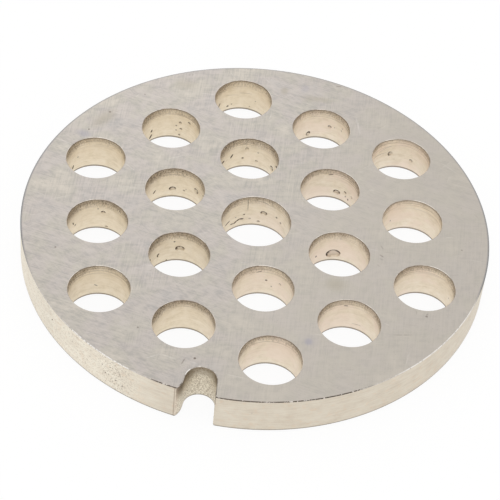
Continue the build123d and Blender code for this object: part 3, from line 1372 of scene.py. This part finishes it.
# %% The bore walls
LIP_DIRT = (0.15, 0.12, 0.095)
LIP_HEIGHTS = (THICKNESS - 0.25, THICKNESS - 0.1)
LOW_SHADE = (0.17, 0.13, 0.095)
LOW_SHADE_HEIGHTS = (0.45, 0.3)
BOWL_SHADE = (0.10, 0.068, 0.045)
SILL_HIGHLIGHT = (1.0, 0.96, 0.88)


def bore_wall():
    """A drilled wall, cream partly by painted warm light, with a rough dark band under the ground face.
    """
    material, tree = new_material("bore_wall")
    up = height_up(tree)
    rings = grain(tree, (9, 9, 0.12), detail=2.0)
    colour, grit = torn_skin(tree, clean_skin_and_warm_light(tree, rings), up, rings)
    colour = lay(tree, band(tree, up, *LIP_HEIGHTS), colour, LIP_DIRT, strength=0.6)
    # Painted shade: a thin brown line on the rounded lower edge, where the plate sits on the floor.
    colour = lay(tree, band(tree, up, *LOW_SHADE_HEIGHTS), colour, LOW_SHADE, strength=0.75)
    # Painted shade under the blowholes' lips and a painted highlight on their sills.
    colour = lay_marks(tree, colour, BOWL_SHADE, SILL_HIGHLIGHT)
    relief = sum_of(tree, (rings, 0.3), (grit, 0.7))
    return finish_metal(material, tree, colour, relief, metallic=1.0, roughness=0.6, depth=0.03)


finishes.append(bore_wall())
print("made", finishes[-1].name)

# %% [markdown]
# ## The rim
#
# The rim has the same cream colour as the bores, partly its skin and partly painted warm light, a
# little greyer, with fine lines round it and patches of rust. To the left of the notch it is
# lighter, by painted light, and speckled with sand, with a cluster of grit near the notch and a
# brown line down the notch's corner. One material that knows the direction from the plate's middle
# can do all of this, where several materials would show their borders. Each stretch below is two
# directions in degrees and the softness of its ends.

# %% The rim
# The rim's cream is partly its skin's own colour and partly painted warm light.
RIM_SKIN_AND_WARM_LIGHT = ((0.34, (0.635, 0.555, 0.455)), (0.5, (0.715, 0.65, 0.545)), (0.66, (0.765, 0.71, 0.61)))
LEFT_PAINTED_LIGHT = (1.19, 1.22, 1.25)
SAND_SPECKS = ((0.34, (0.5, 0.45, 0.39)), (0.46, (1, 1, 1)), (0.7, (1.1, 1.1, 1.1)))
RUST = (0.75, 0.56, 0.40)
RIM_GRIT = (0.25, 0.2, 0.15)
CORNER_BROWN = (0.34, 0.25, 0.18)
LEFT_LIT_STRETCH = (-160, -104, 10)
SPECKLED_STRETCH = (-155, -104, 3)
GRITTY_STRETCH = (-114, -107, 3)
BROWN_CORNER = (-95.1, -94.85, 0.1)
LOW_EDGE_SHADE = (0.17, 0.14, 0.11)
RIM_BOWL_SHADE = (0.14, 0.10, 0.08)
RIM_SILL_HIGHLIGHT = (1.0, 0.96, 0.9)


def lay_low_shade(tree, colour):
    """A thin line of painted shade along a cast lower edge, where the plate sits on the floor."""
    dirt = band(tree, height_up(tree), CAST_EDGE + 0.13, CAST_EDGE - 0.02)
    return lay(tree, dirt, colour, LOW_EDGE_SHADE, strength=0.7)


def cast_rim():
    """The rim's skin: lighter by painted light and grittier to the left of the notch."""
    material, tree = new_material("cast_rim")
    turn = round_the_rim(tree)
    lines = grain(tree, (3.0, 3.0, 0.13), detail=3.0)
    patches = grain(tree, (2.0, 2.0, 1.2), detail=5.0, roughness=0.7)
    colour = shades(tree, sum_of(tree, (lines, 0.5), (patches, 0.5)), *RIM_SKIN_AND_WARM_LIGHT)
    # Painted light: the rim is lighter to the left of the notch.
    colour = lay(tree, between(tree, turn, *LEFT_LIT_STRETCH), colour, LEFT_PAINTED_LIGHT, "MULTIPLY")

    sand = grain(tree, (0.3, 0.3, 0.13), detail=2.0, roughness=0.7)
    specks, speckled = shades(tree, sand, *SAND_SPECKS), between(tree, turn, *SPECKLED_STRETCH)
    colour = lay(tree, speckled, colour, specks, "MULTIPLY", strength=0.45)
    rust = band(tree, grain(tree, (0.9, 0.9, 0.6), detail=3.0), 0.54, 0.68)
    colour = lay(tree, rust, colour, RUST, strength=0.25)
    grit = band(tree, grain(tree, (0.2, 0.2, 0.2), detail=2.0), 0.56, 0.66)
    grit = product_of(tree, grit, between(tree, turn, *GRITTY_STRETCH))
    colour = lay(tree, grit, colour, RIM_GRIT, strength=0.8)
    colour = lay(tree, between(tree, turn, *BROWN_CORNER), colour, CORNER_BROWN, strength=0.6)
    colour = lay_low_shade(tree, colour)
    # Painted shade under the blowholes' lips and a painted highlight on their sills.
    colour = lay_marks(tree, colour, RIM_BOWL_SHADE, RIM_SILL_HIGHLIGHT)
    return finish_metal(material, tree, colour, patches, metallic=0.75, roughness=0.55, depth=0.02)


finishes.append(cast_rim())
print("made", finishes[-1].name)

# %% [markdown]
# ## The notch
#
# The notch was never machined, so it's the roughest surface of the plate: a sandy casting skin. The
# same noise gives the sand its colour and its relief, so each grain is where its shade is. The skin
# is darker under the ground face, has painted shade on the notch's two sides, and is brown at its
# left corner.

# %% The notch
SAND_SHADES = ((0.34, (0.38, 0.315, 0.235)), (0.46, (0.69, 0.62, 0.50)), (0.62, (0.95, 0.90, 0.785)))
TOP_SHADE = (0.42, 0.375, 0.32)
SIDE_SHADE = (0.56, 0.52, 0.46)
CORNER_TINT = (0.72, 0.58, 0.48)


def sandy_notch():
    """The notch's sandy skin."""
    material, tree = new_material("sandy_notch")
    up, aside = height_up(tree), across(tree, 1, 0)
    sand = grain(tree, (0.2, 0.2, 0.2), detail=3.0, roughness=0.75)
    patches = grain(tree, (1.5, 1.5, 1.5), detail=3.0)
    colour = shades(tree, sand, *SAND_SHADES)
    depth = sum_of(tree, (up, 1.0), (patches, 2.0), (sand, 1.5), plus=-1.75)
    colour = lay(tree, band(tree, depth, 3.2, 5.4), colour, TOP_SHADE, "MULTIPLY")
    # Painted shade on the notch's two sides, high up.
    sides = sum_of(tree, (band(tree, aside, 1.0, 2.1), 1.0), (band(tree, aside, -1.0, -2.1), 1.0))
    high = band(tree, sum_of(tree, (up, 1.0), (sand, 3.0)), 3.6, 6.2)
    colour = lay(tree, product_of(tree, sides, high), colour, SIDE_SHADE, "MULTIPLY")
    colour = lay(tree, band(tree, aside, -2.1, -2.6), colour, CORNER_TINT, strength=0.4)
    colour = lay_low_shade(tree, colour)
    return finish_metal(material, tree, colour, sand, metallic=0.7, roughness=0.6, depth=0.05)


finishes.append(sandy_notch())
print("made", finishes[-1].name)

# %% [markdown]
# ## Worn edges and painted glints
#
# Each bore has a narrow sharp edge at the ground face, which the knife keeps clean in some places
# and dirt dulls in others. The edge round the rim and the notch is wider. It has painted glints on
# two stretches and by the notch's shoulder, is dark by the notch, and is a plain grey on the far
# side. Both edges are strips of faces of their own, so each can have its own metal.

# %% The edges of the bores
EDGE_SHADES = ((0.38, (0.34, 0.29, 0.24)), (0.48, (0.52, 0.475, 0.42)), (0.58, (0.85, 0.81, 0.75)))


def bright_edge():
    """The edge round a bore, which the knife keeps clean."""
    material, tree = new_material("bright_edge")
    nicks = grain(tree, (0.5, 0.5, 0.5), detail=3.0, roughness=0.7)
    turns = grain(tree, (3, 3, 3), detail=1.0)
    colour = shades(tree, sum_of(tree, (turns, 0.6), (nicks, 0.4)), *EDGE_SHADES)
    return finish_metal(material, tree, colour, nicks, metallic=1.0, roughness=0.4, depth=0.01)


finishes.append(bright_edge())
print("made", finishes[-1].name)

# %% The edge of the rim
RIM_EDGE_SHADES = ((0.4, (0.50, 0.47, 0.43)), (0.6, (0.66, 0.62, 0.58)))
FAR_EDGE_GREY = (0.21, 0.21, 0.215)
EDGE_DARK_LINE = (0.10, 0.08, 0.065)
GLINT_WHITE = (1.0, 0.985, 0.96)
DARK_LINE_STRETCH = (-101, -50, 2.5)
LEFT_GLINT_STRETCH = (-126, -106, 2)
RIGHT_GLINT_STRETCH = (-41, -12, 4)
NOTCH_SHOULDER_GLINT = (-1.95, -27.9)


def worn_edge_and_glints():
    """The edge round the rim and the notch: painted glints on two stretches, dark by the notch."""
    material, tree = new_material("worn_edge_and_glints")
    turn = round_the_rim(tree)
    nicks = grain(tree, (0.35, 0.35, 0.35), detail=3.0, roughness=0.7)
    colour = lay(tree, far_side(tree, turn), shades(tree, nicks, *RIM_EDGE_SHADES), FAR_EDGE_GREY)
    dark_line = product_of(tree, between(tree, turn, *DARK_LINE_STRETCH), band(tree, nicks, 0.64, 0.52))
    outside = sum_of(tree, (band(tree, out_from_middle(tree), 29.5, 30.6), 0.75), plus=0.25)
    colour = lay(tree, product_of(tree, dark_line, outside), colour, EDGE_DARK_LINE)
    # Painted glints on two stretches of the edge and by the notch's shoulder.
    left_glint = product_of(tree, between(tree, turn, *LEFT_GLINT_STRETCH), band(tree, nicks, 0.43, 0.53))
    right_glint = product_of(tree, between(tree, turn, *RIGHT_GLINT_STRETCH), band(tree, nicks, 0.34, 0.44))
    shoulder_glint = near(tree, NOTCH_SHOULDER_GLINT, 0.7)
    bright = sum_of(tree, (shoulder_glint, 0.8), (left_glint, 0.7), (right_glint, 0.6))
    colour = lay(tree, bright, colour, GLINT_WHITE)
    return finish_metal(material, tree, colour, nicks, metallic=1.0, roughness=0.4, depth=0.01)


finishes.append(worn_edge_and_glints())
print("made", finishes[-1].name)

# %% [markdown]
# ## The underside
#
# The underside faces away from the knife, so nothing keeps it bright. It is duller than the ground
# face, with a stained, pitted skin and faint lines from wiping. It could share the ground face's
# metal, but a second, plainer one keeps the two sides apart when the plate is turned over.

# %% The underside
UNDERSIDE_SHADES = ((0.35, (0.42, 0.38, 0.33)), (0.5, (0.53, 0.485, 0.43)), (0.65, (0.60, 0.56, 0.50)))
PIT_BROWN = (0.2, 0.16, 0.12)


def dull_underside():
    """The lower face."""
    material, tree = new_material("dull_underside")
    clouds, lines = grain(tree, (6, 6, 6), detail=6.0), grain(tree, (5, 0.2, 1), turn=40)
    tint = sum_of(tree, (clouds, 0.7), (lines, 0.3))
    pits = band(tree, grain(tree, (0.35, 0.35, 0.35), detail=2.0), 0.64, 0.72)
    colour = lay(tree, pits, shades(tree, tint, *UNDERSIDE_SHADES), PIT_BROWN, strength=0.6)
    return finish_metal(material, tree, colour, tint, metallic=0.9, roughness=0.5, depth=0.02)


finishes.append(dull_underside())
print("finishes:", [material.name for material in finishes])

# %% [markdown]
# ## The finished piece
#
# The surface becomes a Blender mesh in metres, and its marks and tones go with it as attributes of
# its points. Its normals are made to point out of the metal, the walls are shaded smooth and the
# true edges stay sharp. Then the piece takes the solid's place.

# %% Make the piece
SHARP_ANGLE = 35.0


def make_piece(casting, name, materials):
    """The casting as an object in metres."""
    mesh = bpy.data.meshes.new(name)
    mesh.from_pydata([(x * MM, y * MM, z * MM) for x, y, z in casting.points], [], casting.faces)
    for material in materials:
        mesh.materials.append(material)
    mesh.polygons.foreach_set("material_index", casting.finishes)
    mesh.polygons.foreach_set("use_smooth", [True] * len(casting.faces))
    for layer, values in (("mark", casting.marks), ("tone", casting.tones)):
        mesh.attributes.new(layer, "FLOAT", "POINT").data.foreach_set("value", values)
    work = bmesh.new()
    work.from_mesh(mesh)
    bmesh.ops.recalc_face_normals(work, faces=work.faces)
    loose = [edge for edge in work.edges if len(edge.link_faces) != 2]
    print("edges that don't join two faces:", len(loose))
    work.to_mesh(mesh)
    work.free()
    mesh.set_sharp_from_angle(angle=math.radians(SHARP_ANGLE))
    piece = bpy.data.objects.new(name, mesh)
    bpy.context.scene.collection.objects.link(piece)
    return piece


plate = make_piece(casting, "plate", finishes)
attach(plate, "root")
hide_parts("grinder_plate")
print(sum(len(face) - 2 for face in casting.faces), "triangles")
